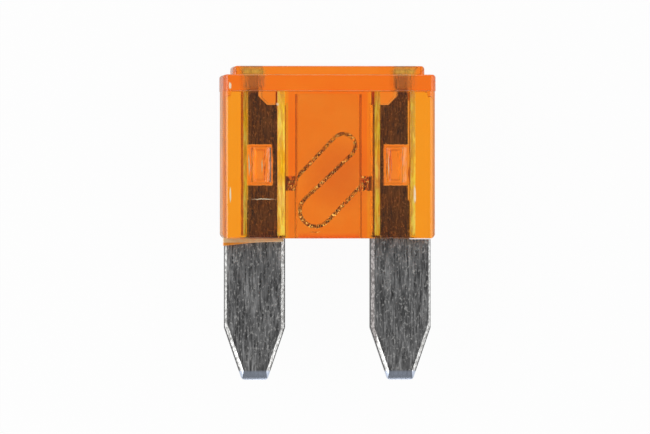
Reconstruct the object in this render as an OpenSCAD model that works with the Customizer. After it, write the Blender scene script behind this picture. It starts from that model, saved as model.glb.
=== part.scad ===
// Small plug-in blade fuse, lying on its back.
// A clear-tinted moulding holds a strip of zinc that is stamped in one piece: two blades,
// two terminals and, between them, a thin folded link that melts when the current is too high.
// X runs across the two blades, Y points from the blade tips to the crown, Z is up out of the front.
// Heights are measured along Y from the seating face, the end of the moulding that the blades leave.

/* [Moulding] */
// Width across the two side rails
housing_w = 11; // [10.7:0.1:11.8]
// Thickness over the head lip, from front to back
housing_t = 3.6; // [3.4:0.1:4.6]
// Height of the top of the head lip above the seating face
lip_top = 8.45; // [8.2:0.05:9.6]
// Height of the head lip, which fingers or a puller grip
lip_h = 0.85; // [0.7:0.05:1.2]
// How far the crown rises above the head lip
crown_rise = 0.45; // [0.25:0.05:0.8]
// Width of the ledge that the crown leaves all round
crown_ledge = 0.55; // [0.4:0.01:0.65]
// Radius of the upright corners of the rails and the lip
upright_r = 0.45; // [0.2:0.05:0.6]
// Radius of the upright corners of the crown
crown_corner_r = 0.22; // [0.1:0.02:0.4]
// Radius of the upper corners of the front outline
outline_r = 0.2; // [0.1:0.05:0.25]
// Radius of the lower corners of the front outline
seat_r = 0.3; // [0.1:0.05:0.4]
// Radius of the edges round the ends of the rails, the rib, the lip and the crown
edge_r = 0.08; // [0.04:0.01:0.09]

/* [Rails, rib and windows] */
// How far the centre rib stands back from the face of the head lip
rib_step = 0.12; // [0.1:0.02:0.3]
// How far the centre rib laps over the inner edge of each terminal
rib_lap = 0.12; // [0:0.01:0.16]
// Thickness of the two side rails
rail_t = 2.9; // [2.5:0.1:3.2]
// Width of a side rail at its face
rail_w = 1.05; // [0.9:0.05:1.2]
// Thickness over the two window floors, front and back
window_t = 2; // [1.7:0.1:2.3]
// How far a window wall leans out for each millimetre of depth
window_lean = 0.5; // [0.2:0.1:0.6]
// Height of the sill that closes a window above the seating face
sill_h = 0.15; // [0.1:0.05:0.4]

/* [Inside of the moulding] */
// Wall between the link chamber and the edge of the centre rib
chamber_wall = 0.6; // [0.5:0.05:0.75]
// Depth of the link chamber, from front to back
chamber_t = 0.9; // [0.8:0.1:1.6]
// Distance from the top of the chamber to the foot of the head lip
chamber_drop = 0.15; // [0.1:0.05:0.3]
// Radius of the upright corners of the chamber
chamber_r = 0.15; // [0.05:0.05:0.3]
// Height of the lead-in at the mouth of the chamber
lead_in = 0.36; // [0.2:0.02:0.5]
// How far the lead-in opens the mouth of the chamber, at the front and at the back
lead_flare = 0.2; // [0.1:0.05:0.3]
// Space beside the test tab in its opening
test_clear = 0.22; // [0.15:0.01:0.25]
// How far the outer wall of a test opening leans out at the crown
mouth_flare = 0.33; // [0.2:0.01:0.36]
// Depth of the punched hollow that stakes the moulding through a notch
stake_depth = 0.2; // [0.1:0.02:0.3]
// Radius of the punch that makes the hollow
stake_r = 0.8; // [0.6:0.05:1]
// Distance from the ends of the hollow to the ends of the notch
stake_margin = 0.15; // [0.1:0.01:0.25]

/* [Zinc strip] */
// Thickness of the strip
strip_t = 0.8; // [0.6:0.05:0.9]
// Length of a blade below the seating face
blade_l = 7.3; // [6.4:0.05:8.4]
// Width of the gap between the two blades
blade_gap = 4.4; // [4.2:0.05:4.6]
// How far the outer edge of a blade lies inside the face of its rail
blade_inset = 0.15; // [0:0.01:0.3]
// Length of the tapered end of a blade
taper_l = 2.7; // [2:0.05:3.2]
// Width of the blunt tip of a blade
tip_w = 1.3; // [1:0.05:1.6]
// Radius of the corners of a tip
tip_r = 0.2; // [0.05:0.05:0.3]
// Width of the coined bevel along the inner edge
inner_bevel = 0.22; // [0.1:0.02:0.3]
// Width of the coined bevel along the outer edge
outer_bevel = 0.12; // [0.06:0.02:0.2]
// Width of the coined bevel along a taper
taper_bevel = 0.2; // [0.1:0.02:0.3]
// Length of the lead-in bevel at a tip
tip_bevel = 0.45; // [0.2:0.05:0.6]
// Depth of every coined bevel
bevel_depth = 0.2; // [0.1:0.02:0.28]

/* [Terminals] */
// Width of a terminal inside the moulding
terminal_w = 1.93; // [1.85:0.01:2]
// Height of the flat top of a terminal below the head lip
terminal_drop = 0.7; // [0.5:0.05:1]
// How far the foot of a terminal is wider than the rest
foot_step = 0.1; // [0.06:0.02:0.24]
// Height at which a terminal narrows above its foot
foot_h = 1.9; // [1.5:0.1:2.1]
// Width of the test tab that rises into the crown
tab_w = 0.52; // [0.4:0.02:0.65]
// How far the end of a test tab lies below the top of the crown
tab_sunk = 0.2; // [0.1:0.05:0.4]
// Radius of the hollow corner between a test tab and its terminal
tab_r = 0.45; // [0.2:0.05:0.6]
// Height of the middle of the staking notch
notch_y = 3.8; // [3.6:0.05:4.1]
// Height of the staking notch
notch_h = 2.1; // [1.6:0.05:2.2]
// Depth of the staking notch, from the outer edge of the terminal
notch_w = 1.25; // [1:0.05:1.35]

/* [Fusible link] */
// Height of the middle of the two necks that carry the link
neck_y = 2.84; // [2.7:0.01:3.1]
// Height of a neck
neck_h = 0.75; // [0.6:0.05:0.85]
// Thickness of a neck
neck_t = 0.5; // [0.4:0.05:0.6]
// Width of the link
link_w = 0.2; // [0.14:0.02:0.24]
// Thickness of the link
link_t = 0.3; // [0.2:0.05:0.4]
// Radius of the upper bend, along the middle of the link
upper_r = 0.62; // [0.5:0.02:0.7]
// Radius of the lower bend, along the middle of the link
lower_r = 0.82; // [0.7:0.02:0.9]
// Distance of the upper bend from the wall of the chamber
upper_clear = 0.3; // [0.2:0.02:0.4]
// Distance of the lower bend from the other wall of the chamber
lower_clear = 0.26; // [0.2:0.02:0.4]
// Height of the upper bend's centre above the necks
upper_rise = 1.95; // [1.7:0.05:2.1]
// Depth of the lower bend's centre below the necks
lower_drop = 1.4; // [1.3:0.05:1.6]
// Height at which the link leaves the left neck, above the neck's middle
link_start = 0.22; // [0:0.02:0.24]
// Depth at which the link meets the right neck, below the neck's middle
link_end = 0.12; // [0:0.02:0.24]

/* [Fits] */
// Clearance between the moulding and the strip
fit_gap = 0.04; // [0.03:0.01:0.06]
// Side play of the strip in its slot
side_play = 0.08; // [0.05:0.01:0.1]

/* [Hidden] */
$fn = 48;

// Overlap that a cutting or joining shape has past the face it works on
past = 0.6;
// Number of steps round each bend of the link
bend_steps = 24;
// Number of steps round each corner of a tip
tip_steps = 6;

crown_top = lip_top + crown_rise;
lip_foot = lip_top - lip_h;
seat_y = (blade_l - crown_top) / 2;

blade_in = blade_gap / 2;
blade_out = housing_w / 2 - blade_inset;
blade_mid = (blade_in + blade_out) / 2;
terminal_out = blade_in + terminal_w;
terminal_top = lip_foot - terminal_drop;
foot_out = terminal_out + foot_step;
tab_in = terminal_out - tab_w;
tab_top = crown_top - tab_sunk;
notch_in = terminal_out - notch_w;

// How far a taper leans, and the angle through which the edge turns at each corner of a tip
taper_lean = atan((blade_out - blade_in - tip_w) / 2 / taper_l);
tip_turn = 90 - taper_lean;
tip_centre = tip_w / 2 - tip_r * tan(tip_turn / 2);

crown_w = housing_w - 2 * crown_ledge;
crown_t = housing_t - 2 * crown_ledge;
rib_t = housing_t - 2 * rib_step;
rib_out = blade_in + rib_lap;
rib_foot = rib_out + window_lean * (rib_t - window_t) / 2;
rail_in = housing_w / 2 - rail_w;
rail_foot = rail_in - window_lean * (rail_t - window_t) / 2;

chamber_out = rib_out - chamber_wall;
chamber_top = lip_foot - chamber_drop;
slot_t = strip_t + 2 * fit_gap;
test_in = tab_in - test_clear;
test_out = terminal_out + test_clear;

// The link runs from the left neck round the upper bend, back across, round the lower bend and up
// to the right neck. Each straight piece touches the bends that it joins.
link_from = [-chamber_out, neck_y + link_start];
link_to = [chamber_out, neck_y - link_end];
upper_bend = [chamber_out - upper_clear - upper_r, neck_y + upper_rise];
lower_bend = [lower_clear + lower_r - chamber_out, neck_y - lower_drop];

function bearing(a, b) = atan2(b[1] - a[1], b[0] - a[0]);
function ahead(p, angle, length) = [p[0] + length * cos(angle), p[1] + length * sin(angle)];

// Points along an arc about a centre
function arc(centre, r, from, sweep, steps) =
    [for (i = [0:steps]) ahead(centre, from + sweep * i / steps, r)];

// Directions of the three straight pieces
first_angle = bearing(link_from, upper_bend) + asin(upper_r / norm(upper_bend - link_from));
middle_angle = bearing(lower_bend, upper_bend)
    - asin((upper_r + lower_r) / norm(upper_bend - lower_bend));
last_angle = bearing(lower_bend, link_to) + asin(lower_r / norm(link_to - lower_bend));

// A rounded rectangle about the origin
module rounded_plate(w, h, r) {
    square([w - 2 * r, h], center = true);
    square([w, h - 2 * r], center = true);
    for (x = [-1, 1], y = [-1, 1])
        translate([x * (w / 2 - r), y * (h / 2 - r)]) circle(r);
}

// Extrudes a cross-section, drawn across the width and the thickness, between two heights
module between(low, high) {
    translate([0, high, 0]) rotate([90, 0, 0]) linear_extrude(high - low) children();
}

// Repeats its children on the right and on the left
module both_sides() {
    children();
    mirror([1, 0, 0]) children();
}

// Repeats its children on the front and on the back
module both_faces() {
    children();
    mirror([0, 0, 1]) children();
}

// A bar between two heights, with rounded uprights and rounded edges round its ends
module rounded_bar(w, t, low, high, corner_r) {
    intersection() {
        between(low, high) rounded_plate(w, t, corner_r);
        translate([0, (low + high) / 2, 0]) rotate([90, 0, 90])
            linear_extrude(w + past, center = true) rounded_plate(high - low, t, edge_r);
    }
}

// Outline of the moulding from the front: the body with the narrower crown on it
module front_outline() {
    intersection() {
        translate([0, lip_top / 2]) rounded_plate(housing_w, lip_top, outline_r);
        translate([0, lip_top]) rounded_plate(housing_w, 2 * lip_top, seat_r);
    }
    translate([0, crown_top / 2]) rounded_plate(crown_w, crown_top, outline_r);
}

// Rails, rib, lip and crown before anything is cut out of them
module moulding_blank() {
    rounded_bar(housing_w, rail_t, 0, lip_top, upright_r);
    rounded_bar(2 * rib_foot, rib_t, 0, lip_top, edge_r);
    rounded_bar(housing_w, housing_t, lip_foot, lip_top, upright_r);
    rounded_bar(crown_w, crown_t, lip_foot, crown_top, crown_corner_r);
}

// One window: a sunk panel between the rib and a rail, with leaning long walls
module window() {
    reach = (housing_t - window_t) / 2 + past;
    between(sill_h, lip_foot)
        polygon([
            [rib_foot, window_t / 2],
            [rail_foot, window_t / 2],
            [rail_foot + window_lean * reach, window_t / 2 + reach],
            [rib_foot - window_lean * reach, window_t / 2 + reach]
        ]);
}

// Slot that takes a terminal, open at the seating face, with room for the corner under its tab
module terminal_slot() {
    slot_in = blade_in - side_play;
    linear_extrude(slot_t, center = true)
        polygon([
            [slot_in, -past],
            [foot_out + side_play, -past],
            [foot_out + side_play, foot_h + foot_step],
            [terminal_out + side_play, foot_h + foot_step],
            [terminal_out + side_play, terminal_top + tab_r + side_play],
            [tab_in - side_play, terminal_top + tab_r + side_play],
            [tab_in - tab_r - side_play, terminal_top + side_play],
            [slot_in, terminal_top + side_play]
        ]);
}

// Passage through which the necks slide up to their seat, across the whole rib
module neck_passage() {
    between(-past, neck_y + neck_h / 2 + fit_gap)
        square([2 * blade_in, neck_t + 2 * fit_gap], center = true);
}

// Chamber round the link, with a lead-in at its mouth
module link_chamber() {
    half = chamber_t / 2;
    between(-past, chamber_top) rounded_plate(2 * chamber_out, chamber_t, chamber_r);
    rotate([90, 0, 90]) linear_extrude(2 * (chamber_out - chamber_r), center = true)
        polygon([
            [-past, half + lead_flare],
            [0, half + lead_flare],
            [lead_in, half],
            [lead_in, -half],
            [0, -half - lead_flare],
            [-past, -half - lead_flare]
        ]);
}

// Opening through which a probe reaches the test tab, as deep as the slot that it grows out of,
// with an outer wall that leans out at the crown
module test_opening() {
    foot = terminal_top + tab_r / 2;
    linear_extrude(slot_t, center = true)
        polygon([
            [test_in, foot],
            [test_out, foot],
            [test_out, lip_top],
            [test_out + mouth_flare, crown_top],
            [test_out + mouth_flare, crown_top + past],
            [test_in, crown_top + past]
        ]);
}

// Plastic that the stake has pushed through the notch, joined to the floors and the slot's end
module stake_plug() {
    left = notch_in + fit_gap;
    right = terminal_out + side_play + fit_gap;
    translate([left, notch_y - notch_h / 2 + fit_gap, -slot_t / 2 - fit_gap])
        cube([right - left, notch_h - 2 * fit_gap, slot_t + 2 * fit_gap]);
}

// Hollow that the stake leaves in a window floor
module stake_hollow() {
    translate([(notch_in + terminal_out) / 2, notch_y, window_t / 2 - stake_depth + stake_r])
        rotate([90, 0, 0]) cylinder(h = notch_h - 2 * stake_margin, r = stake_r, center = true);
}

module housing() {
    color([0.96, 0.5, 0.12, 0.7]) translate([0, seat_y, housing_t / 2])
        difference() {
            union() {
                difference() {
                    intersection() {
                        moulding_blank();
                        linear_extrude(housing_t + past, center = true) front_outline();
                    }
                    both_sides() both_faces() window();
                    both_sides() terminal_slot();
                    neck_passage();
                    link_chamber();
                    both_sides() test_opening();
                }
                both_sides() stake_plug();
            }
            both_sides() both_faces() stake_hollow();
        }
}

// Outline of the right blade and its terminal
module terminal_outline() {
    tip_y = tip_r - blade_l;
    difference() {
        polygon(concat(
            [[blade_in, taper_l - blade_l]],
            arc([blade_mid - tip_centre, tip_y], tip_r, -90 - tip_turn, tip_turn, tip_steps),
            arc([blade_mid + tip_centre, tip_y], tip_r, -90, tip_turn, tip_steps),
            [
                [blade_out, taper_l - blade_l],
                [blade_out, -fit_gap],
                [foot_out, -fit_gap],
                [foot_out, foot_h],
                [terminal_out, foot_h + foot_step],
                [terminal_out, tab_top],
                [tab_in, tab_top],
                [tab_in, terminal_top + tab_r],
                [tab_in - tab_r, terminal_top],
                [blade_in, terminal_top]
            ]
        ));
        translate([notch_in, notch_y - notch_h / 2]) square([notch_w + past, notch_h]);
    }
    difference() {
        translate([tab_in - tab_r, terminal_top]) square(tab_r);
        translate([tab_in - tab_r, terminal_top + tab_r]) circle(tab_r);
    }
}

// Wedge that coins a bevel along the edge from one point to the next, with the metal on its left
module bevel_wedge(from, to, wide, deep = bevel_depth) {
    slope = deep / wide;
    translate([from[0], from[1], 0]) rotate([0, 0, bearing(from, to)])
        translate([-past, 0, 0]) rotate([90, 0, 90]) linear_extrude(norm(to - from) + 2 * past)
            polygon([
                [wide, strip_t / 2],
                [-past, strip_t / 2 - slope * (wide + past)],
                [-past, strip_t / 2 + past],
                [wide, strip_t / 2 + past]
            ]);
}

// Blade and terminal on the right, with bevels on both faces
module terminal() {
    taper_in = [blade_in, taper_l - blade_l];
    tip_in = [blade_mid - tip_w / 2, -blade_l];
    tip_out = [blade_mid + tip_w / 2, -blade_l];
    taper_out = [blade_out, taper_l - blade_l];
    difference() {
        linear_extrude(strip_t, center = true) terminal_outline();
        both_faces() {
            bevel_wedge([blade_in, terminal_top], taper_in, inner_bevel);
            bevel_wedge(taper_in, tip_in, taper_bevel);
            bevel_wedge(tip_in, tip_out, tip_bevel);
            bevel_wedge(tip_out, taper_out, taper_bevel);
            bevel_wedge(taper_out, [blade_out, -fit_gap], outer_bevel);
        }
    }
}

// Neck that joins a terminal to the link, let into the terminal by its bevel
module neck() {
    translate([chamber_out, neck_y - neck_h / 2, -neck_t / 2])
        cube([blade_in + inner_bevel - chamber_out, neck_h, neck_t]);
}

// One long edge of the link, at a distance to the left of its middle line
function link_edge(side) = concat(
    [ahead(ahead(link_from, first_angle, -link_w / 2), first_angle + 90, side)],
    arc(upper_bend, upper_r + side, first_angle + 90, middle_angle - first_angle - 180, bend_steps),
    arc(lower_bend, lower_r - side, middle_angle + 90, last_angle - middle_angle + 180, bend_steps),
    [ahead(ahead(link_to, last_angle, link_w / 2), last_angle + 90, side)]
);

// Thin strip that melts: three straight pieces joined by two bends, let into the necks
module fusible_link() {
    left = link_edge(link_w / 2);
    right = link_edge(-link_w / 2);
    linear_extrude(link_t, center = true)
        polygon(concat(left, [for (i = [len(right) - 1:-1:0]) right[i]]));
}

module fuse_element() {
    color([0.55, 0.55, 0.54]) translate([0, seat_y, housing_t / 2]) {
        both_sides() terminal();
        both_sides() neck();
        fusible_link();
    }
}

housing();
fuse_element();
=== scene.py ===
# %% [markdown]
# # A small blade fuse
# A plug-in fuse is a strip of zinc in a clear-tinted plastic moulding. Its two blades push into
# spring contacts, and a thin folded link between them melts when too much current flows. The
# solids of both pieces are already made at their real size. This lesson gives them the finish of
# the real thing, and adds the light, the floor and the camera of a plain product picture.

# %% Load the solids
import math
import bpy
from mathutils import Matrix, Vector


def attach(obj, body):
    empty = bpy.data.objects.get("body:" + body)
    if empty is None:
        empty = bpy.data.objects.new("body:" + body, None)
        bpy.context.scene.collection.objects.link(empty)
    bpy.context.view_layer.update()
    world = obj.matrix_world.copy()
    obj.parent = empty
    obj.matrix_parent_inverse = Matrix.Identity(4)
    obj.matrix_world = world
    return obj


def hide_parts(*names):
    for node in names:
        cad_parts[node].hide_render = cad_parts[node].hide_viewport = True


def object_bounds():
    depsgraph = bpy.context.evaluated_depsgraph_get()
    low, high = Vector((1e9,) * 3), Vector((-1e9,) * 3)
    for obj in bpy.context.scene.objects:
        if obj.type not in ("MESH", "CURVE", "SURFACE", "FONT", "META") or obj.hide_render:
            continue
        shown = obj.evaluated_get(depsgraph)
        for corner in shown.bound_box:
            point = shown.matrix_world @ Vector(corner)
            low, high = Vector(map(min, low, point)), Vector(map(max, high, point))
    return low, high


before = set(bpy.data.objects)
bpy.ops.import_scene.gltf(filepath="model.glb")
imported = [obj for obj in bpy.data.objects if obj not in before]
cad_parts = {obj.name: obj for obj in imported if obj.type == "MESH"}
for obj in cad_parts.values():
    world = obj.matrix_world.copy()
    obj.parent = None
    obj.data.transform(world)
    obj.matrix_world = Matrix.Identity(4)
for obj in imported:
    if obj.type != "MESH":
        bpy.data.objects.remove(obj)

MM = 0.001
scene = bpy.context.scene
scene.view_settings.view_transform = "Standard"
cad_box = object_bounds()
half_width = cad_box[1][0]
front = cad_box[1][2]
half_depth = (cad_box[0][2] + front) / 2
print("solids:", sorted(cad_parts), "box in metres:", cad_box)

# %% [markdown]
# ## Helpers for materials
# A colour picked from a screen is an sRGB hex value, and a shader needs it turned to linear
# light. The next helper adds one node to a tree, with its settings and the links into it, so that
# each material below reads as a list of what it is made of. Sockets that share a name go by
# number: a Mix node has its factor at 0, two plain numbers at 2 and 3, and two colours at 6 and
# 7.

# %% Colour and node helpers
def linear(hex_colour):
    """The linear colour, with full alpha, of an sRGB hex value, by the sRGB standard."""
    channels = []
    for start in (1, 3, 5):
        c = int(hex_colour[start:start + 2], 16) / 255
        channels.append(c / 12.92 if c <= 0.04045 else ((c + 0.055) / 1.055) ** 2.4)
    return (*channels, 1.0)


def add(tree, kind, settings=None, links=None):
    """Adds a node. Settings name properties or sockets, and links give the source of a socket."""
    node = tree.nodes.new(kind)
    for name, value in (settings or {}).items():
        if isinstance(name, str) and hasattr(node, name):
            setattr(node, name, value)
        else:
            node.inputs[name].default_value = value
    for name, source in (links or {}).items():
        tree.links.new(source, node.inputs[name])
    return node


def new_material(name):
    """An empty material and its node tree."""
    material = bpy.data.materials.new(name)
    material.use_nodes = True
    material.node_tree.nodes.clear()
    return material, material.node_tree


print("a rail's orange in linear light:", [round(c, 3) for c in linear("#f7941d")])

# %% [markdown]
# ## Camera
# The fuse lies on its back and the camera looks down on it. In the photograph the walls that face
# left look wider than those that face right, so the camera stands a little to the left. Height
# and width keep one scale over the whole picture, so it also stands far back, with a long lens.
# The lens is worked out from the distance and from how many pixels one millimetre takes up.

# %% Camera
PICTURE_WIDTH = 650
PICTURE_MIDDLE = Vector((325, 217))
FUSE_MIDDLE = Vector((327.2, 222.95))     # where the middle of the fuse lies in the picture
PIXELS_PER_MM = 19.33
CAMERA_DISTANCE = 0.4
CAMERA_TURN = math.radians(-4.5)

camera_data = bpy.data.cameras.new("camera")
view_width = PICTURE_WIDTH / PIXELS_PER_MM * MM
camera_data.lens = camera_data.sensor_width * CAMERA_DISTANCE / view_width
camera_data.clip_start = 0.01
camera = bpy.data.objects.new("camera", camera_data)
scene.collection.objects.link(camera)
scene.camera = camera

look_back = Vector((math.sin(CAMERA_TURN), 0, math.cos(CAMERA_TURN)))
look_right = Vector((0, 1, 0)).cross(look_back)
look_up = look_back.cross(look_right)
offset = (PICTURE_MIDDLE - FUSE_MIDDLE) / PIXELS_PER_MM * MM
aim = Vector((0, 0, half_depth)) + look_right * offset.x - look_up * offset.y
turned = Matrix((look_right, look_up, look_back)).transposed().to_4x4()
camera.matrix_world = Matrix.Translation(aim + look_back * CAMERA_DISTANCE) @ turned
print("lens", round(camera_data.lens), "mm at", CAMERA_DISTANCE, "m")

# %% [markdown]
# ## Floor
# The floor is a sheet of white paper. A paper lit by lamps is never quite white, so the camera,
# and the rays that the metal reflects or the plastic lets through, see a share of plain white.
# The rest of the paper is matt and lit, and it keeps the shadow round the fuse. Light comes at
# the paper under the plastic from all sides, so what is seen through the plastic is plain white.

# %% Floor
WHITE_SEEN = 0.96        # share of plain white for the camera and in reflections
WHITE_THROUGH = 1.0      # share of plain white that is seen through the plastic
PAPER_TINT = "#eeeeee"
FLOOR_SIZE = 1.2
FLOOR_GAP = 0.02 * MM    # the paper and the back of the fuse must not share one plane


def white_paper():
    """Matt white paper that shows as white behind the fuse."""
    material, tree = new_material("paper_white_matt")
    rays = add(tree, "ShaderNodeLightPath")
    seen = add(tree, "ShaderNodeMath", {"operation": "MAXIMUM"},
               {0: rays.outputs["Is Camera Ray"], 1: rays.outputs["Is Glossy Ray"]})
    seen_share = add(tree, "ShaderNodeMath", {"operation": "MULTIPLY", 1: WHITE_SEEN},
                     {0: seen.outputs[0]})
    # A ray that went through the plastic counts as glossy too, so it only gets the difference
    share = add(tree, "ShaderNodeMath", {
        "operation": "MULTIPLY_ADD", 1: WHITE_THROUGH - WHITE_SEEN},
        {0: rays.outputs["Is Transmission Ray"], 2: seen_share.outputs[0]})
    lit = add(tree, "ShaderNodeBsdfDiffuse", {"Color": linear(PAPER_TINT)})
    plain = add(tree, "ShaderNodeEmission", {"Color": linear("#ffffff"), "Strength": 1.0})
    mixed = add(tree, "ShaderNodeMixShader", None,
                {0: share.outputs[0], 1: lit.outputs[0], 2: plain.outputs[0]})
    add(tree, "ShaderNodeOutputMaterial", None, {"Surface": mixed.outputs[0]})
    return material


bpy.ops.object.select_all(action="DESELECT")
bpy.ops.mesh.primitive_plane_add(size=FLOOR_SIZE, location=(0, 0, -FLOOR_GAP))
floor = bpy.context.object
floor.name = "floor"
bpy.ops.object.transform_apply(location=True, rotation=True, scale=True)
floor.data.materials.append(white_paper())
print("floor", [round(v, 2) for v in floor.dimensions], "m")

# %% [markdown]
# ## Room
# Flat metal shows what it mirrors. The faces of the blades mirror the dim room above, which makes
# them grey. The walls of the room show as white where the camera looks at them past the floor.
# One world does both, because its strength can ask whether a ray comes straight from the camera.

# %% Room
ROOM_LIGHT = 0.27        # what the metal mirrors, and what lights the floor


def dim_room():
    """A dim, even room whose walls look white to the camera."""
    world = bpy.data.worlds.new("room")
    world.use_nodes = True
    tree = world.node_tree
    tree.nodes.clear()
    rays = add(tree, "ShaderNodeLightPath")
    strength = add(tree, "ShaderNodeMapRange", {"To Min": ROOM_LIGHT, "To Max": WHITE_SEEN},
                   {"Value": rays.outputs["Is Camera Ray"]})
    walls = add(tree, "ShaderNodeBackground", {"Color": linear("#ffffff")},
                {"Strength": strength.outputs[0]})
    add(tree, "ShaderNodeOutputWorld", None, {"Surface": walls.outputs[0]})
    return world


scene.world = dim_room()
print("room light:", ROOM_LIGHT)

# %% [markdown]
# ## Lamps
# The slanting edges of the blades mirror the lamps at the sides, which makes them bright. So the
# lamps are four softboxes that stand low round the fuse, and nothing bright hangs over it. The
# walls that face left shine most in the photograph, so the left softbox is the strongest.

# %% Softboxes
SOFTBOXES = (            # place, width and height in metres; brightness, where 1 mirrors as white
    ("left_softbox", (-0.28, 0.0, 0.12), 0.40, 0.20, 2.6),
    ("right_softbox", (0.28, 0.0, 0.10), 0.40, 0.20, 1.3),
    ("far_softbox", (0.0, 0.28, 0.10), 0.40, 0.20, 1.5),
    ("near_softbox", (0.0, -0.28, 0.06), 0.40, 0.12, 1.8))

for name, place, width, height, brightness in SOFTBOXES:
    data = bpy.data.lights.new(name, "AREA")
    data.shape = "RECTANGLE"
    data.size, data.size_y = width, height
    data.energy = brightness * math.pi * width * height
    lamp = bpy.data.objects.new(name, data)
    scene.collection.objects.link(lamp)
    lamp.location = place
    to_fuse = Vector((0, 0, half_depth)) - Vector(place)
    lamp.rotation_euler = to_fuse.to_track_quat("-Z", "Y").to_euler()

# %% [markdown]
# ## Masks from place and slope
# Both real materials differ from place to place: a wall is scuffed, an edge is pressed, a notch
# is torn. A painted picture could hold this, but a mask that is worked out from where a point
# lies and how the surface slopes there needs no file and stays sharp from close by. Both
# materials start from the same few facts. A mask's settings name the value at which it is 0 and
# the value at which it is 1, in that order.

# %% Where a point lies
def point_facts(tree):
    """Sockets that say where a point lies on the fuse and how the surface slopes there."""
    coordinates = add(tree, "ShaderNodeTexCoord")
    place = coordinates.outputs["Object"]
    axes = add(tree, "ShaderNodeSeparateXYZ", None, {0: place})
    slope = add(tree, "ShaderNodeSeparateXYZ", None, {0: coordinates.outputs["Normal"]})
    height = add(tree, "ShaderNodeMath", {"operation": "SUBTRACT", 1: half_depth},
                 {0: axes.outputs["Z"]})
    facts = {"place": place, "along": axes.outputs["Y"], "facing_right": slope.outputs["X"]}
    for name, value in (("across", axes.outputs["X"]), ("off_plane", height.outputs[0]),
                        ("level", slope.outputs["Z"])):
        facts[name] = add(tree, "ShaderNodeMath", {"operation": "ABSOLUTE"},
                          {0: value}).outputs[0]
    return facts


print("half width", half_width, "m, middle plane at", half_depth, "m")

# %% [markdown]
# ## Plastic
# The moulding is polycarbonate with an orange dye, injected into a polished steel mould. The dye
# is in its depth, so a volume inside it takes out green and blue light with every millimetre. The
# skin is tinted as well, which stands for the light that wanders about under it, and the walls of
# the slot and the chamber inside stay clear. The walls of the windows lean by 63 degrees. They
# look scuffed, as walls do that slide off the pins of a mould, so they get a mask of their own.

# %% Skin and window walls
OUTER_SKIN = {"From Min": 0.48 * MM, "From Max": 0.6 * MM}       # off the middle plane
RAIL_SKIN = {"From Min": 4.8 * MM, "From Max": 5.0 * MM}         # across, from the middle
INSIDE_RAILS = {"From Min": 4.6 * MM, "From Max": 4.5 * MM}      # across, from the middle
WALL_LEVEL = 0.447                                               # how level a window wall is
NEAR_WALL_LEVEL = {"From Min": 0.1, "From Max": 0.05}


def skin_mask(tree, at):
    """1 on the outer skin, and 0 on the walls of the slot and the chamber."""
    face = add(tree, "ShaderNodeMapRange", OUTER_SKIN, {"Value": at["off_plane"]})
    side = add(tree, "ShaderNodeMapRange", RAIL_SKIN, {"Value": at["across"]})
    return add(tree, "ShaderNodeMath", {"operation": "MAXIMUM"},
               {0: face.outputs[0], 1: side.outputs[0]}).outputs[0]


def wall_mask(tree, at):
    """1 on the leaning walls of the windows."""
    difference = add(tree, "ShaderNodeMath", {"operation": "SUBTRACT", 1: WALL_LEVEL},
                     {0: at["level"]})
    off_lean = add(tree, "ShaderNodeMath", {"operation": "ABSOLUTE"}, {0: difference.outputs[0]})
    leaning = add(tree, "ShaderNodeMapRange", NEAR_WALL_LEVEL, {"Value": off_lean.outputs[0]})
    inside = add(tree, "ShaderNodeMapRange", INSIDE_RAILS, {"Value": at["across"]})
    return add(tree, "ShaderNodeMath", {"operation": "MULTIPLY"},
               {0: leaning.outputs[0], 1: inside.outputs[0]}).outputs[0]


print("window walls lean", round(math.degrees(math.acos(WALL_LEVEL))), "degrees")

# %% [markdown]
# A stake has pushed plastic through a notch in each terminal, and there the surface is torn and
# wavy. The mouths of the two test openings look clouded. A box-shaped mask finds each of these
# places, so that only they get the dull, rough relief.

# %% Worn places of the plastic
WORN_PLACES = {          # middle and half size, across and then along, in millimetres
    "stakes": (3.5, 0.65, 3.0, 1.0),
    "mouths": (3.9, 0.55, 7.45, 0.5)}
WORN_BLUR = 0.12         # how far the edge of such a place fades to each side, in millimetres


def worn_masks(tree, at):
    """Two masks that are 1 at the stakes or at the mouths, and 0 away from them."""
    masks = {}
    for name, (middle_x, half_x, middle_y, half_y) in WORN_PLACES.items():
        sides = []
        for value, middle, half in ((at["across"], middle_x, half_x),
                                    (at["along"], middle_y, half_y)):
            away = add(tree, "ShaderNodeMath", {"operation": "SUBTRACT", 1: middle * MM},
                       {0: value})
            distance = add(tree, "ShaderNodeMath", {"operation": "ABSOLUTE"},
                           {0: away.outputs[0]})
            inside = add(tree, "ShaderNodeMapRange", {
                "From Min": (half + WORN_BLUR) * MM, "From Max": (half - WORN_BLUR) * MM},
                {"Value": distance.outputs[0]})
            sides.append(inside.outputs[0])
        masks[name] = add(tree, "ShaderNodeMath", {"operation": "MULTIPLY"},
                          {0: sides[0], 1: sides[1]}).outputs[0]
    return masks


print("worn places on each side:", list(WORN_PLACES))
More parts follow.
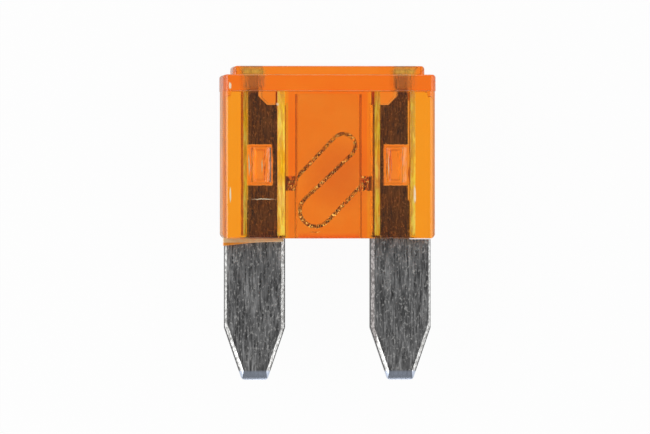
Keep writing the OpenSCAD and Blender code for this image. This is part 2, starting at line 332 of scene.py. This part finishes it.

# %% [markdown]
# A few small white marks on the front are painted highlights, shaped like nicks and one scratch.
# Each is an ellipse round a place on the front. A little noise is added to the place first, so that
# the outline of the ellipse is ragged, and half of that noise is taken off again, because noise is
# 0.5 on average.

# %% Painted highlights on the front
PAINTED_GLINT_MARKS = (                # middle and half size, across and then along, in millimetres
    (-5.15, 7.08, 0.06, 0.16),      # lip, above the left rail
    (-5.12, 1.45, 0.05, 0.40),      # left rail
    (-2.67, 6.12, 0.10, 0.10),      # inner top corner of the left window
    (-3.42, 1.22, 0.80, 0.04),      # scratch across the left window
    (-4.12, 3.00, 0.05, 0.70),      # left edge of the left stake
    (-3.43, 2.95, 0.04, 0.50),      # middle of the left stake
    (3.10, 2.95, 0.04, 0.70),       # left part of the right stake
    (4.42, 1.50, 0.05, 0.45))       # inner edge of the right rail
GLINT_RAGGED = 0.12                  # reach of the noise in millimetres
GLINT_DEPTH = 1.2                    # how far below the front a nick still shows, in millimetres
GLINT_EDGE = {"From Min": 1.2, "From Max": 0.8}       # in shares of the half size


def painted_glint_mask(tree, place, noise):
    """1 on the painted highlights of the front, and 0 away from them."""
    ragged = add(tree, "ShaderNodeVectorMath", {
        "operation": "MULTIPLY_ADD", 1: (GLINT_RAGGED * MM, GLINT_RAGGED * MM, 0.0)},
        {0: noise, 2: place})
    mask = None
    for x, y, half_x, half_y in PAINTED_GLINT_MARKS:
        middle = ((x + GLINT_RAGGED / 2) * MM, (y + GLINT_RAGGED / 2) * MM, front)
        away = add(tree, "ShaderNodeVectorMath", {"operation": "SUBTRACT", 1: middle},
                   {0: ragged.outputs[0]})
        share = add(tree, "ShaderNodeVectorMath", {
            "operation": "DIVIDE", 1: (half_x * MM, half_y * MM, GLINT_DEPTH * MM)},
            {0: away.outputs[0]})
        distance = add(tree, "ShaderNodeVectorMath", {"operation": "LENGTH"},
                       {0: share.outputs[0]})
        glint_spot = add(tree, "ShaderNodeMapRange", GLINT_EDGE,
                   {"Value": distance.outputs["Value"]}).outputs[0]
        if mask:
            glint_spot = add(tree, "ShaderNodeMath", {"operation": "MAXIMUM"},
                       {0: mask, 1: glint_spot}).outputs[0]
        mask = glint_spot
    return mask


print(len(PAINTED_GLINT_MARKS), "painted_glints")

# %% [markdown]
# All the masks of the plastic are made once and kept by name. Two noises go with them: faint
# clouds about 1.5 mm wide all over the plastic, and streaks along the fuse where it is torn or
# scuffed.

# %% Masks of the plastic
CLOUD_SIZE = 1.5 * MM
TEAR_SIZE = (0.16 * MM, 0.8 * MM, 0.4 * MM)
CROWN = {"From Min": 7.55 * MM, "From Max": 7.75 * MM}           # along


def plastic_masks(tree, at):
    """The masks and noises of the moulding, by name."""
    flow = add(tree, "ShaderNodeTexNoise", {"Scale": 1 / CLOUD_SIZE, "Detail": 2.0},
               {"Vector": at["place"]})
    stretch = add(tree, "ShaderNodeMapping", {"Scale": tuple(1 / size for size in TEAR_SIZE)},
                  {"Vector": at["place"]})
    torn = add(tree, "ShaderNodeTexNoise", {"Scale": 1.0, "Detail": 2.0},
               {"Vector": stretch.outputs[0]})
    crown = add(tree, "ShaderNodeMapRange", CROWN, {"Value": at["along"]})
    masks = {"flow": flow.outputs["Fac"], "torn": torn.outputs["Fac"], "crown": crown.outputs[0],
             "skin": skin_mask(tree, at), "walls": wall_mask(tree, at)}
    masks.update(worn_masks(tree, at))
    masks["worn"] = add(tree, "ShaderNodeMath", {"operation": "MAXIMUM"},
                        {0: masks["stakes"], 1: masks["mouths"]}).outputs[0]
    masks["painted_glints"] = add(tree, "ShaderNodeMath", {"operation": "MULTIPLY"},
                         {0: painted_glint_mask(tree, at["place"], torn.outputs["Color"]),
                          1: masks["skin"]}).outputs[0]
    return masks


print("clouds", round(CLOUD_SIZE / MM, 2), "mm and tears", round(TEAR_SIZE[0] / MM, 2), "mm wide")

# %% [markdown]
# In the photograph the rails look lighter than the rest, and the walls beside each terminal look
# yellow, perhaps because the zinc throws light back through them. The skin takes its tint from a
# ramp that runs from the middle of the fuse to its sides. The ramp paints the rails lighter than
# the rest and the walls beside each terminal yellow. Both are painted light, for light that comes
# in at the sides. Head and crown have one tint. A soft round spot of deeper orange a little above
# the middle of the chamber is painted shade.

# %% Tint of the skin, with painted light and shade
# The yellow wall tints and the pale rail tint below are painted light.
SKIN_TINTS_AND_PAINTED_LIGHT = (           # distance from the middle of the fuse in millimetres, and the tint there
    (0.00, "#fc9836"), (2.08, "#fc9836"),     # centre rib
    (2.18, "#ffd01c"), (2.64, "#ffd01c"),     # wall beside the inner edge of a terminal
    (2.70, "#f9942c"), (4.12, "#f9942c"),     # window
    (4.19, "#ffd01c"), (4.44, "#ffd01c"),     # wall beside the outer edge of a terminal
    (4.50, "#ffc540"), (5.50, "#ffc540"))     # rail
HEAD = {"From Min": 6.75 * MM, "From Max": 6.85 * MM}            # along
HEAD_TINT = "#fd9e38"
# A soft round spot of painted shade, deeper orange, lies a little above the middle of the chamber.
PAINTED_SHADE_MIDDLE = (0.6 * MM, 2.5 * MM, 1.8 * MM)
PAINTED_SHADE_SPOT = {"From Min": 2.7 * MM, "From Max": 1.7 * MM, "To Max": 0.9}
PAINTED_SHADE_TINT = "#ec8034"


def skin_tint_with_painted_light_and_shade(tree, at):
    """The tint of the skin, from the rib to the rails, with painted light on the walls and rails,
    on the head, and with painted shade over the chamber.
    """
    share = add(tree, "ShaderNodeMath", {"operation": "DIVIDE", 1: half_width}, {0: at["across"]})
    bands = add(tree, "ShaderNodeValToRGB", None, {"Fac": share.outputs[0]})
    stops = bands.color_ramp.elements
    for distance, tint in SKIN_TINTS_AND_PAINTED_LIGHT[1:-1]:
        stops.new(distance * MM / half_width).color = linear(tint)
    stops[0].color = linear(SKIN_TINTS_AND_PAINTED_LIGHT[0][1])
    stops[len(stops) - 1].color = linear(SKIN_TINTS_AND_PAINTED_LIGHT[-1][1])
    head = add(tree, "ShaderNodeMapRange", HEAD, {"Value": at["along"]})
    even = add(tree, "ShaderNodeMix", {"data_type": "RGBA", 7: linear(HEAD_TINT)},
               {0: head.outputs[0], 6: bands.outputs["Color"]})
    away = add(tree, "ShaderNodeVectorMath", {"operation": "SUBTRACT", 1: PAINTED_SHADE_MIDDLE},
               {0: at["place"]})
    distance = add(tree, "ShaderNodeVectorMath", {"operation": "LENGTH"}, {0: away.outputs[0]})
    shade_spot = add(tree, "ShaderNodeMapRange", PAINTED_SHADE_SPOT, {"Value": distance.outputs["Value"]})
    return add(tree, "ShaderNodeMix", {"data_type": "RGBA", 7: linear(PAINTED_SHADE_TINT)},
               {0: shade_spot.outputs[0], 6: even.outputs[2]}).outputs[2]


print("tints from the middle to the side:", [tint for _, tint in SKIN_TINTS_AND_PAINTED_LIGHT[::2]])

# %% [markdown]
# Over that tint come the tints of the single places: streaks of painted highlight on the scuffed
# walls, clouded mouths with painted shade on the lip and a painted yellow highlight on the crown,
# orange stakes, and small white painted highlights. The inside stays white, which is clear, and the
# skin is a little paler where the melt left a cloud.

# %% Colour of the plastic
WALL_HIGHLIGHT_STREAKS = {"From Min": 0.5, "From Max": 0.62}               # of the torn noise
# Streaks of painted highlight on the window walls:
STREAK_HIGHLIGHT_TINT = "#ffe63c"
# The lip's mouth tint is painted shade, and the crown's yellow mouth tint is a painted highlight.
MOUTH_LIP_SHADE, MOUTH_CROWN_HIGHLIGHT = "#fa9624", "#ffd03c"
STAKE_TINT = "#fb9020"
# White of the painted highlights:
GLINT_TINT = "#fff4d8"
FLOW_COVER = {"From Min": 0.3, "From Max": 0.7, "To Min": 0.9, "To Max": 1.0}


def plastic_colour(tree, at, masks):
    """The colour of the surface: tinted outside and clear inside, with painted highlights and
    shade.
    """
    highlight_streaks = add(tree, "ShaderNodeMapRange", WALL_HIGHLIGHT_STREAKS, {"Value": masks["torn"]})
    wall_highlights = add(tree, "ShaderNodeMath", {"operation": "MULTIPLY"},
                       {0: masks["walls"], 1: highlight_streaks.outputs[0]})
    highlighted = add(tree, "ShaderNodeMix", {"data_type": "RGBA", 7: linear(STREAK_HIGHLIGHT_TINT)},
                  {0: wall_highlights.outputs[0], 6: skin_tint_with_painted_light_and_shade(tree, at)})
    mouth_shade_and_highlight = add(tree, "ShaderNodeMix", {
        "data_type": "RGBA", 6: linear(MOUTH_LIP_SHADE), 7: linear(MOUTH_CROWN_HIGHLIGHT)},
        {0: masks["crown"]})
    mouthed = add(tree, "ShaderNodeMix", {"data_type": "RGBA"},
                  {0: masks["mouths"], 6: highlighted.outputs[2], 7: mouth_shade_and_highlight.outputs[2]})
    staked = add(tree, "ShaderNodeMix", {"data_type": "RGBA", 7: linear(STAKE_TINT)},
                 {0: masks["stakes"], 6: mouthed.outputs[2]})
    glinted = add(tree, "ShaderNodeMix", {"data_type": "RGBA", 7: linear(GLINT_TINT)},
                 {0: masks["painted_glints"], 6: staked.outputs[2]})
    cloud = add(tree, "ShaderNodeMapRange", FLOW_COVER, {"Value": masks["flow"]})
    cover = add(tree, "ShaderNodeMath", {"operation": "MULTIPLY"},
                {0: masks["skin"], 1: cloud.outputs[0]})
    return add(tree, "ShaderNodeMix", {"data_type": "RGBA", 6: linear("#ffffff")},
               {0: cover.outputs[0], 7: glinted.outputs[2]}).outputs[2]


print("wall streaks in linear light:", [round(c, 3) for c in linear(STREAK_HIGHLIGHT_TINT)[:3]])

# %% [markdown]
# A polished mould leaves the level faces glossy. Walls that slide out of the mould are duller,
# and the worn places duller than the faces. Inside, everything is polished, which keeps the lines
# of the chamber light. The relief is the torn noise where the surface is worn or scuffed, and
# faint waves elsewhere.

# %% Roughness and relief of the plastic
POLISH = {"From Min": 0.6, "From Max": 0.95, "To Min": 0.4, "To Max": 0.06}      # of how level
WORN_ROUGHNESS = 0.2
INSIDE_ROUGHNESS = 0.06
WALL_ROUGHNESS = 0.1
WAVES = 0.3                # height of the faint waves, as a share of the tears
TEAR_HEIGHT = 0.04 * MM


def plastic_roughness(tree, at, masks):
    """Polished faces, duller sides and worn places, and a polished inside."""
    polish = add(tree, "ShaderNodeMapRange", POLISH, {"Value": at["level"]})
    wear = add(tree, "ShaderNodeMath", {"operation": "MULTIPLY", 1: WORN_ROUGHNESS},
               {0: masks["worn"]})
    outside = add(tree, "ShaderNodeMath", {"operation": "MAXIMUM"},
                  {0: polish.outputs[0], 1: wear.outputs[0]})
    both = add(tree, "ShaderNodeMix", {"data_type": "FLOAT", 2: INSIDE_ROUGHNESS},
               {0: masks["skin"], 3: outside.outputs[0]})
    return add(tree, "ShaderNodeMix", {"data_type": "FLOAT", 3: WALL_ROUGHNESS},
               {0: masks["walls"], 2: both.outputs[0]}).outputs[0]


def plastic_relief(tree, masks):
    """Torn where the surface is worn or scuffed, and faintly wavy elsewhere."""
    uneven = add(tree, "ShaderNodeMath", {"operation": "MAXIMUM"},
                 {0: masks["worn"], 1: masks["walls"]})
    tears = add(tree, "ShaderNodeMath", {"operation": "MULTIPLY"},
                {0: masks["torn"], 1: uneven.outputs[0]})
    height = add(tree, "ShaderNodeMath", {"operation": "MULTIPLY_ADD", 1: WAVES},
                 {0: masks["flow"], 2: tears.outputs[0]})
    return add(tree, "ShaderNodeBump", {"Strength": 1.0, "Distance": TEAR_HEIGHT},
               {"Height": height.outputs[0]}).outputs[0]


print("tears", round(TEAR_HEIGHT / MM, 2), "mm high")

# %% [markdown]
# The scuffed walls and the mouths throw some of the light back, in streaks, instead of letting it
# through, and the painted highlights throw nearly all of it back. How much of the light goes
# through is the transmission weight, so the milky places turn it down.

# %% Clearness of the plastic
MILKY_STREAKS = {"From Min": 0.4, "From Max": 0.6, "To Min": 0.6}        # of the torn noise
MOUTH_MILK = {"To Min": 0.3, "To Max": 0.85}                             # from the lip to the crown
CLEAR_TO_MILKY = {"To Min": 1.0, "To Max": 0.1}


def plastic_clearness(tree, masks):
    """The share of the light that the surface lets through."""
    streaked = add(tree, "ShaderNodeMapRange", MILKY_STREAKS, {"Value": masks["torn"]})
    milk = add(tree, "ShaderNodeMapRange", MOUTH_MILK, {"Value": masks["crown"]})
    clouded = add(tree, "ShaderNodeMath", {"operation": "MULTIPLY"},
                  {0: masks["mouths"], 1: milk.outputs[0]})
    dulled = add(tree, "ShaderNodeMath", {"operation": "MAXIMUM"},
                 {0: masks["walls"], 1: clouded.outputs[0]})
    patchy = add(tree, "ShaderNodeMath", {"operation": "MULTIPLY"},
                 {0: dulled.outputs[0], 1: streaked.outputs[0]})
    milky = add(tree, "ShaderNodeMath", {"operation": "MAXIMUM"},
                {0: patchy.outputs[0], 1: masks["painted_glints"]})
    return add(tree, "ShaderNodeMapRange", CLEAR_TO_MILKY,
               {"Value": milky.outputs[0]}).outputs[0]


print("clearness from", CLEAR_TO_MILKY["To Min"], "down to", CLEAR_TO_MILKY["To Max"])

# %% [markdown]
# Polycarbonate bends light more than glass, which gives the moulding its bright and dark edges.
# Dye and skin together make the orange: one film of dye would look flat, and the dye alone would
# leave the thin walls nearly clear.

# %% Tinted plastic
POLYCARBONATE_IOR = 1.58
DYE = {"Color": linear("#fee700"), "Density": 1000.0}      # the colour after 1 mm: 1000 per metre


def tinted_polycarbonate():
    """Injection-moulded polycarbonate: glossy, clear, and orange from the dye in its depth."""
    material, tree = new_material("polycarbonate_tinted_orange")
    at = point_facts(tree)
    masks = plastic_masks(tree, at)
    surface = add(tree, "ShaderNodeBsdfPrincipled", {"IOR": POLYCARBONATE_IOR}, {
        "Base Color": plastic_colour(tree, at, masks),
        "Roughness": plastic_roughness(tree, at, masks),
        "Transmission Weight": plastic_clearness(tree, masks),
        "Normal": plastic_relief(tree, masks)})
    dye = add(tree, "ShaderNodeVolumeAbsorption", DYE)
    add(tree, "ShaderNodeOutputMaterial", None,
        {"Surface": surface.outputs[0], "Volume": dye.outputs[0]})
    return material


plastic = tinted_polycarbonate()
print("plastic:", plastic.name, len(plastic.node_tree.nodes), "nodes")

# %% [markdown]
# ## Zinc
# The strip is zinc sheet that was rolled, stamped out and coined. The rolls leave fine lines
# along it, some dull and some bright, and there are specks of oxide and short scratches. Both
# patterns are noises that are stretched along the blades. They are drawn a little coarser than
# the real ones, which are too fine to show.

# %% Rolling lines and specks
FINE_LINE_SIZE = (0.075 * MM, 0.7 * MM, 0.4 * MM)          # across, along and through the strip
WIDE_LINE_SIZE = (0.5 * MM, 3.0 * MM, 1.0 * MM)
SPECK_SIZE = (0.09 * MM, 0.16 * MM, 0.12 * MM)
LINE_CONTRAST = {"From Min": 0.32, "From Max": 0.68}
SPECKS = {"From Min": 0.56, "From Max": 0.7}
DARK_LINE, BRIGHT_LINE, SPECK_GREY = "#5c5c5d", "#ffffff", "#f0efec"


def rolled_noises(tree, place):
    """The fine lines, the wide lines and the grain of the zinc, as numbers round 0.5."""
    noises = []
    for size, look in ((FINE_LINE_SIZE, {"Detail": 3.0, "Roughness": 0.6}),
                       (WIDE_LINE_SIZE, {"Detail": 2.0}), (SPECK_SIZE, {"Detail": 3.0})):
        stretch = add(tree, "ShaderNodeMapping", {"Scale": tuple(1 / s for s in size)},
                      {"Vector": place})
        noise = add(tree, "ShaderNodeTexNoise", {"Scale": 1.0, **look},
                    {"Vector": stretch.outputs[0]})
        noises.append(noise.outputs["Fac"])
    return noises


def rolled_grey(tree, fine_line, wide, grain):
    """The grey of the rolled faces, with lines and specks."""
    lines = add(tree, "ShaderNodeMath", {"operation": "MULTIPLY"}, {0: fine_line, 1: wide})
    grey = add(tree, "ShaderNodeMix", {
        "data_type": "RGBA", 6: linear(DARK_LINE), 7: linear(BRIGHT_LINE)}, {0: lines.outputs[0]})
    speck = add(tree, "ShaderNodeMapRange", SPECKS, {"Value": grain})
    return add(tree, "ShaderNodeMix", {"data_type": "RGBA", 7: linear(SPECK_GREY)},
               {0: speck.outputs[0], 6: grey.outputs[2]}).outputs[2]


print("fine lines", round(FINE_LINE_SIZE[0] / MM, 3), "mm wide")

# %% [markdown]
# The slanting edges are coined: a die has pressed them smooth and bright, with a beaded grain. The
# inner one of the right blade faces left, and painted shade makes it greyer than the others. The
# sides are 0.4 mm high and were sheared by a punch, which leaves them dark. Above the seating face,
# the inner edges and the link are pale. Such a link is usually thinned before it is cut out, so
# that it melts before anything else does. The test tabs are pale and matt, and the tips bluish.

# %% Places of the zinc strip
ZINC_PLACES = {          # the fact each mask is worked out from, where it is 0 and where it is 1
    "coined": ("level", 0.98, 0.93),
    "faces_left": ("facing_right", -0.1, -0.3),
    "inner_bevel": ("across", 2.65 * MM, 2.5 * MM),
    "sheared": ("off_plane", 0.26 * MM, 0.23 * MM),
    "tip": ("along", -7.6 * MM, -7.7 * MM),
    "link": ("across", 2.2 * MM, 2.1 * MM),
    "inner_edge": ("across", 2.38 * MM, 2.28 * MM),
    "above_seat": ("along", -0.8 * MM, -0.6 * MM),
    "tab": ("along", 6.7 * MM, 6.9 * MM)}


def zinc_masks(tree, at):
    """The masks of the strip, by name."""
    masks = {}
    for name, (fact, none, full) in ZINC_PLACES.items():
        masks[name] = add(tree, "ShaderNodeMapRange", {"From Min": none, "From Max": full},
                          {"Value": at[fact]}).outputs[0]
    for name, one, other in (("painted_shade_edge", masks["faces_left"], masks["inner_bevel"]),
                             ("thinned", masks["inner_edge"], masks["above_seat"]),
                             ("tab_face", masks["tab"], at["level"])):
        masks[name] = add(tree, "ShaderNodeMath", {"operation": "MULTIPLY"},
                          {0: one, 1: other}).outputs[0]
    return masks


print(len(ZINC_PLACES), "masks from place and slope")

# %% [markdown]
# The colour is built up in layers. First come the rolled faces, then the coined edges over them,
# and last the tint of each single place. The coined edges are dark in the low parts of the grain
# and bright on its beads, so that they glitter.

# %% Colour of the zinc
BEADS = {"From Min": 0.42, "From Max": 0.6}                # of the grain
BEAD_LOW, BEAD_HIGH = "#a6a5a3", "#f4f4f2"
# Painted shade on the inner coined edge that faces left:
PAINTED_EDGE_SHADE = "#8c8888"
ZINC_TINTS = (("sheared", "#3a3a3a"), ("tip", "#c0c9da"), ("tab_face", "#fbf9f2"),
              ("thinned", "#fbf9f2"))


def zinc_colour(tree, masks, rolled, grain):
    """Rolled faces, coined edges with painted shade on one of them, and the tints of the single
    places over them.
    """
    beads = add(tree, "ShaderNodeMapRange", BEADS, {"Value": grain})
    beaded = add(tree, "ShaderNodeMix", {
        "data_type": "RGBA", 6: linear(BEAD_LOW), 7: linear(BEAD_HIGH)}, {0: beads.outputs[0]})
    bevel = add(tree, "ShaderNodeMix", {
        "data_type": "RGBA", "blend_type": "MULTIPLY", 7: linear(PAINTED_EDGE_SHADE)},
        {0: masks["painted_shade_edge"], 6: beaded.outputs[2]})
    colour = add(tree, "ShaderNodeMix", {"data_type": "RGBA"},
                 {0: masks["coined"], 6: rolled, 7: bevel.outputs[2]})
    for name, tint in ZINC_TINTS:
        colour = add(tree, "ShaderNodeMix", {"data_type": "RGBA", 7: linear(tint)},
                     {0: masks[name], 6: colour.outputs[2]})
    return colour.outputs[2]


print("tints over the rolled grey:", ZINC_TINTS)

# %% [markdown]
# The bright lines of the rolled faces are rougher than the dark ones, the coined edges are
# smooth, and the thinned link is smoothest. In the photograph the link glints along its whole
# length, so it gets pits with steep little sides that mirror the lamps through the plastic. This
# bump is far too steep for a real height: a lower one only gives the link a flat brown.

# %% Roughness and relief of the zinc
LINE_ROUGHNESS = {"To Min": 0.24, "To Max": 0.5}
COINED_ROUGHNESS = 0.25
THINNED_ROUGHNESS, TAB_ROUGHNESS = 0.15, 0.65
PIT_SIZE = 0.22 * MM
PIT_HEIGHT = 300.0         # height of the pits, as a multiple of the height of the lines
LINE_HEIGHT = 0.004 * MM


def zinc_roughness(tree, masks, fine_line):
    """Lines on the faces, smooth coined edges, a glossy link and matt tabs."""
    faces = add(tree, "ShaderNodeMapRange", LINE_ROUGHNESS, {"Value": fine_line})
    smooth = add(tree, "ShaderNodeMix", {"data_type": "FLOAT", 3: COINED_ROUGHNESS},
                 {0: masks["coined"], 2: faces.outputs[0]})
    special = add(tree, "ShaderNodeMath", {"operation": "MAXIMUM"},
                  {0: masks["thinned"], 1: masks["tab"]})
    special_roughness = add(tree, "ShaderNodeMix", {
        "data_type": "FLOAT", 2: THINNED_ROUGHNESS, 3: TAB_ROUGHNESS}, {0: masks["tab"]})
    return add(tree, "ShaderNodeMix", {"data_type": "FLOAT"},
               {0: special.outputs[0], 2: smooth.outputs[0],
                3: special_roughness.outputs[0]}).outputs[0]


def zinc_relief(tree, at, masks, fine):
    """Fine lines along the strip, and steep pits on the link."""
    pits = add(tree, "ShaderNodeTexNoise", {"Scale": 1 / PIT_SIZE, "Detail": 1.0},
               {"Vector": at["place"]})
    pitted = add(tree, "ShaderNodeMath", {"operation": "MULTIPLY"},
                 {0: pits.outputs["Fac"], 1: masks["link"]})
    height = add(tree, "ShaderNodeMath", {"operation": "MULTIPLY_ADD", 1: PIT_HEIGHT},
                 {0: pitted.outputs[0], 2: fine})
    return add(tree, "ShaderNodeBump", {"Strength": 0.8, "Distance": LINE_HEIGHT},
               {"Height": height.outputs[0]}).outputs[0]


print("pits", round(PIT_SIZE / MM, 2), "mm wide")

# %% [markdown]
# Bare zinc is a metal with nothing over it, so what is seen of it is what it mirrors, tinted by
# its own grey. The parts above are put together into one material.

# %% Rolled zinc
def rolled_zinc():
    """Bare zinc strip with fine rolling lines along the blades, bluish grey and half glossy."""
    material, tree = new_material("zinc_rolled_strip")
    at = point_facts(tree)
    masks = zinc_masks(tree, at)
    fine, wide, grain = rolled_noises(tree, at["place"])
    fine_line = add(tree, "ShaderNodeMapRange", LINE_CONTRAST, {"Value": fine}).outputs[0]
    rolled = rolled_grey(tree, fine_line, wide, grain)
    surface = add(tree, "ShaderNodeBsdfPrincipled", {"Metallic": 1.0}, {
        "Base Color": zinc_colour(tree, masks, rolled, grain),
        "Roughness": zinc_roughness(tree, masks, fine_line),
        "Normal": zinc_relief(tree, at, masks, fine)})
    add(tree, "ShaderNodeOutputMaterial", None, {"Surface": surface.outputs[0]})
    return material


zinc = rolled_zinc()
print("zinc:", zinc.name, len(zinc.node_tree.nodes), "nodes")

# %% [markdown]
# ## Rounded edges
# No real edge is perfectly sharp. A moulded edge is round by a few hundredths of a millimetre,
# and a stamped one is rolled over. The solids are kept as they are, and a copy of each is merged
# into one skin, because a bevel needs edges that join its faces.

# %% Merged copies
MERGE_DISTANCE = 0.001 * MM
FLAT_ANGLE = math.radians(0.5)       # faces that meet at less than this become one face


def merged_copy(node, name):
    """A copy of a solid whose loose triangles are merged into one skin of flat faces."""
    bpy.ops.object.select_all(action="DESELECT")
    piece = bpy.data.objects.new(name, bpy.data.objects[node].data.copy())
    scene.collection.objects.link(piece)
    piece.select_set(True)
    bpy.context.view_layer.objects.active = piece
    bpy.ops.object.mode_set(mode="EDIT")
    bpy.ops.mesh.select_all(action="SELECT")
    bpy.ops.mesh.remove_doubles(threshold=MERGE_DISTANCE)
    bpy.ops.mesh.dissolve_limited(angle_limit=FLAT_ANGLE)
    bpy.ops.object.mode_set(mode="OBJECT")
    print(name, "merged into", len(piece.data.polygons), "faces")
    return piece


moulding = merged_copy("housing", "moulding")
strip = merged_copy("fuse_element", "zinc_strip")

# %% [markdown]
# Every piece is finished in one way. Its sharp edges get a narrow bevel, its curves are shaded
# smooth, and its large faces are then weighted so that they stay flat and only the bevels turn
# the light. Modelling the rounding in the solids would need many thousand faces for a hair's
# width.

# %% Finish of a piece
SHARP_ANGLE = math.radians(25)       # edges sharper than this are rounded
SMOOTH_ANGLE = math.radians(50)      # faces that meet at less than this are shaded as one
MOULDED_EDGE, STAMPED_EDGE = 0.012 * MM, 0.03 * MM


def finish_piece(piece, node, width, material):
    """Rounds and shades a piece, gives it its material, and lets it stand for a node, if any."""
    bpy.ops.object.select_all(action="DESELECT")
    piece.select_set(True)
    bpy.context.view_layer.objects.active = piece
    edges = piece.modifiers.new("rounded_edges", "BEVEL")
    edges.width = width
    edges.segments = 2
    edges.limit_method = "ANGLE"
    edges.angle_limit = SHARP_ANGLE
    edges.use_clamp_overlap = True
    bpy.ops.object.modifier_apply(modifier=edges.name)
    bpy.ops.object.shade_smooth_by_angle(angle=SMOOTH_ANGLE)
    flat = piece.modifiers.new("flat_faces", "WEIGHTED_NORMAL")
    flat.weight = 100
    flat.keep_sharp = True
    bpy.ops.object.modifier_apply(modifier=flat.name)
    piece.data.materials.clear()
    piece.data.materials.append(material)
    if node:
        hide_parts(node)
    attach(piece, "root")
    print(piece.name, len(piece.data.polygons), "faces")


finish_piece(moulding, "housing", MOULDED_EDGE, plastic)

# %% [markdown]
# The edges of the link look softer than those of the stamped blades. The long edges of the link
# are found by their place, and get a wider bevel of their own.

# %% Zinc strip
LINK_REACH = 1.55 * MM               # the link lies within this distance of the middle
LINK_HALF_THICKNESS = 0.15 * MM
LINK_EDGE = 0.05 * MM
NEAR = 0.01 * MM

bpy.ops.object.select_all(action="DESELECT")
strip.select_set(True)
bpy.context.view_layer.objects.active = strip
bpy.ops.object.mode_set(mode="EDIT")
bpy.ops.mesh.select_all(action="DESELECT")
bpy.ops.object.mode_set(mode="OBJECT")
link_edges = 0
for edge in strip.data.edges:
    ends = [strip.data.vertices[v].co for v in edge.vertices]
    on_link = all(abs(end.x) < LINK_REACH
                  and abs(abs(end.z - half_depth) - LINK_HALF_THICKNESS) < NEAR for end in ends)
    edge.select = on_link and abs(ends[0].z - ends[1].z) < NEAR
    link_edges += edge.select
bpy.ops.object.mode_set(mode="EDIT")
bpy.ops.mesh.select_mode(type="EDGE")
bpy.ops.mesh.bevel(offset=LINK_EDGE, segments=3, affect="EDGES", clamp_overlap=True)
bpy.ops.object.mode_set(mode="OBJECT")
print("rounded", link_edges, "edges of the link")
finish_piece(strip, "fuse_element", STAMPED_EDGE, zinc)

# %% [markdown]
# ## Flash
# A thin lip of plastic lies over the left blade at the seating face. It looks like flash, which is
# pressed out where two halves of a mould meet, and then folded over. Near the seating face it is
# painted pale, with a grain in it, as a highlight on its rounded upper part, and it is orange at
# its free edge. It lets little light through, so it needs no dye in its depth.

# %% Clouded plastic with a painted highlight
SEAT = -0.8 * MM
PAINTED_HIGHLIGHT_BAND = {"From Min": SEAT - 0.24 * MM, "From Max": SEAT - 0.18 * MM}    # along
# The pale colours are a painted highlight, and the orange is the plastic at the free edge:
HIGHLIGHT_LOW, HIGHLIGHT_HIGH, FREE_EDGE = "#ffac58", "#fff0c4", "#ff981c"
FLASH_GRAIN = 0.2 * MM
FLASH_RELIEF = 0.02 * MM


def clouded_polycarbonate_with_painted_highlight():
    """Thin polycarbonate that lets little light through: painted pale as a highlight near the
    seating face, orange at its free edge.
    """
    material, tree = new_material("polycarbonate_clouded_orange_painted_highlight")
    at = point_facts(tree)
    highlight_band = add(tree, "ShaderNodeMapRange", PAINTED_HIGHLIGHT_BAND, {"Value": at["along"]})
    grain = add(tree, "ShaderNodeTexNoise", {"Scale": 1 / FLASH_GRAIN, "Detail": 3.0},
                {"Vector": at["place"]})
    highlight_colour = add(tree, "ShaderNodeMix", {
        "data_type": "RGBA", 6: linear(HIGHLIGHT_LOW), 7: linear(HIGHLIGHT_HIGH)},
        {0: grain.outputs["Fac"]})
    colour = add(tree, "ShaderNodeMix", {"data_type": "RGBA", 6: linear(FREE_EDGE)},
                 {0: highlight_band.outputs[0], 7: highlight_colour.outputs[2]})
    bump = add(tree, "ShaderNodeBump", {"Strength": 0.6, "Distance": FLASH_RELIEF},
               {"Height": grain.outputs["Fac"]})
    surface = add(tree, "ShaderNodeBsdfPrincipled", {
        "Roughness": 0.3, "IOR": POLYCARBONATE_IOR, "Transmission Weight": 0.15},
        {"Base Color": colour.outputs[2], "Normal": bump.outputs[0]})
    add(tree, "ShaderNodeOutputMaterial", None, {"Surface": surface.outputs[0]})
    return material


clouded = clouded_polycarbonate_with_painted_highlight()
print("flash:", clouded.name, len(clouded.node_tree.nodes), "nodes")

# %% [markdown]
# The flash is a thin lip in front of the left blade, deep at the rail and shallow further on. It
# could be drawn point by point, but a cube that is divided into columns is quicker: each column
# is squeezed towards the seating face, and the bevel then rounds the lip.

# %% Flash at the seating face
FLASH_LEFT = -5.44 * MM
FLASH_WIDTH = 3.1 * MM
FLASH_DEPTH = 0.44 * MM
FLASH_THICKNESS = 0.6 * MM
FLASH_MIDDLE_Y = SEAT - 0.16 * MM    # a little of the lip lies behind the seating face
FLASH_MIDDLE_Z = 2.54 * MM
FLASH_SHARES = (0.86, 0.7, 0.56, 0.5, 0.47, 0.44)   # depths, where the rail end has 1
FLASH_EDGE = 0.08 * MM

bpy.ops.object.select_all(action="DESELECT")
bpy.ops.mesh.primitive_cube_add(size=1.0)
flash = bpy.context.object
flash.name = "moulding_flash"
flash.scale = (FLASH_WIDTH, FLASH_DEPTH, FLASH_THICKNESS)
flash.location = (FLASH_LEFT + FLASH_WIDTH / 2, FLASH_MIDDLE_Y, FLASH_MIDDLE_Z)
bpy.ops.object.transform_apply(location=True, rotation=True, scale=True)
bpy.ops.object.mode_set(mode="EDIT")
bpy.ops.mesh.subdivide(number_cuts=len(FLASH_SHARES) - 1)
for column, share in enumerate(FLASH_SHARES, 1):
    bpy.ops.mesh.select_all(action="DESELECT")
    bpy.ops.object.mode_set(mode="OBJECT")
    x = FLASH_LEFT + column * FLASH_WIDTH / len(FLASH_SHARES)
    for vertex in flash.data.vertices:
        vertex.select = abs(vertex.co.x - x) < NEAR and vertex.co.y < SEAT
    bpy.ops.object.mode_set(mode="EDIT")
    bpy.ops.transform.resize(value=(1, share, 1), center_override=(0, SEAT, 0))
bpy.ops.object.mode_set(mode="OBJECT")
finish_piece(flash, None, FLASH_EDGE, clouded)
